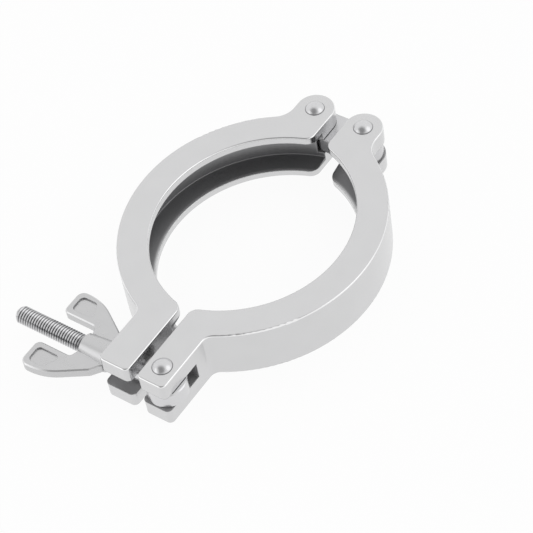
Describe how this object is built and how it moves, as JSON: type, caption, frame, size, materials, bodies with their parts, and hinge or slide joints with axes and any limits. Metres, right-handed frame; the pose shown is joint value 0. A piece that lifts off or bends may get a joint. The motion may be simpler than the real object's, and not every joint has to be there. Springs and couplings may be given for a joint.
{
  "type": "kf flange clamp",
  "caption": "Hinged clamp with two grooved half rings that draws a pair of vacuum flanges together, closed by a swing bolt and a wing nut.",
  "frame": {"origin": "on the clamp's bore axis at half its height", "axes": "+Z along the bore axis towards the rivet heads, +Y towards the hinge link, the swing bolt lies along X and its wing nut is at -X"},
  "size_m": [0.0764, 0.112, 0.0169],
  "materials": {
    "jaw_metal": "satin cast and finished",
    "link_metal": "polished",
    "rivet_steel": "polished",
    "bolt_steel": "bright",
    "nut_metal": "satin cast"
  },
  "bodies": {
    "slotted_jaw": {"slotted_jaw": "jaw_metal", "hinge_rivet_left": "rivet_steel"},
    "hinge_link": {"hinge_link": "link_metal"},
    "bolt_jaw": {"bolt_jaw": "jaw_metal", "hinge_rivet_right": "rivet_steel", "bolt_rivet": "rivet_steel"},
    "swing_bolt": {"swing_bolt": "bolt_steel"},
    "wing_nut": {"wing_nut": "nut_metal"}
  },
  "joints": [
    {"name": "link_pivot", "type": "hinge", "parent": "slotted_jaw", "child": "hinge_link", "pos_m": [-0.00785, 0.0424, 0], "axis": [0, 0, 1], "range_deg": [0, 45]},
    {"name": "jaw_pivot", "type": "hinge", "parent": "hinge_link", "child": "bolt_jaw", "pos_m": [0.00785, 0.0424, 0], "axis": [0, 0, 1], "range_deg": [0, 45]},
    {"name": "bolt_swing", "type": "hinge", "parent": "bolt_jaw", "child": "swing_bolt", "pos_m": [0.00715, -0.0507, 0], "axis": [0, 0, 1], "range_deg": [0, 170]},
    {"name": "nut_travel", "type": "slide", "parent": "swing_bolt", "child": "wing_nut", "axis": [-1, 0, 0], "range_m": [0, 0.019]}
  ],
  "couplings": [
    {"joint": "link_pivot", "follows": "bolt_swing", "ratio": 0.04},
    {"joint": "jaw_pivot", "follows": "bolt_swing", "ratio": 0.04},
    {"joint": "nut_travel", "follows": "bolt_swing", "m_per_rad": 0.006}
  ]
}
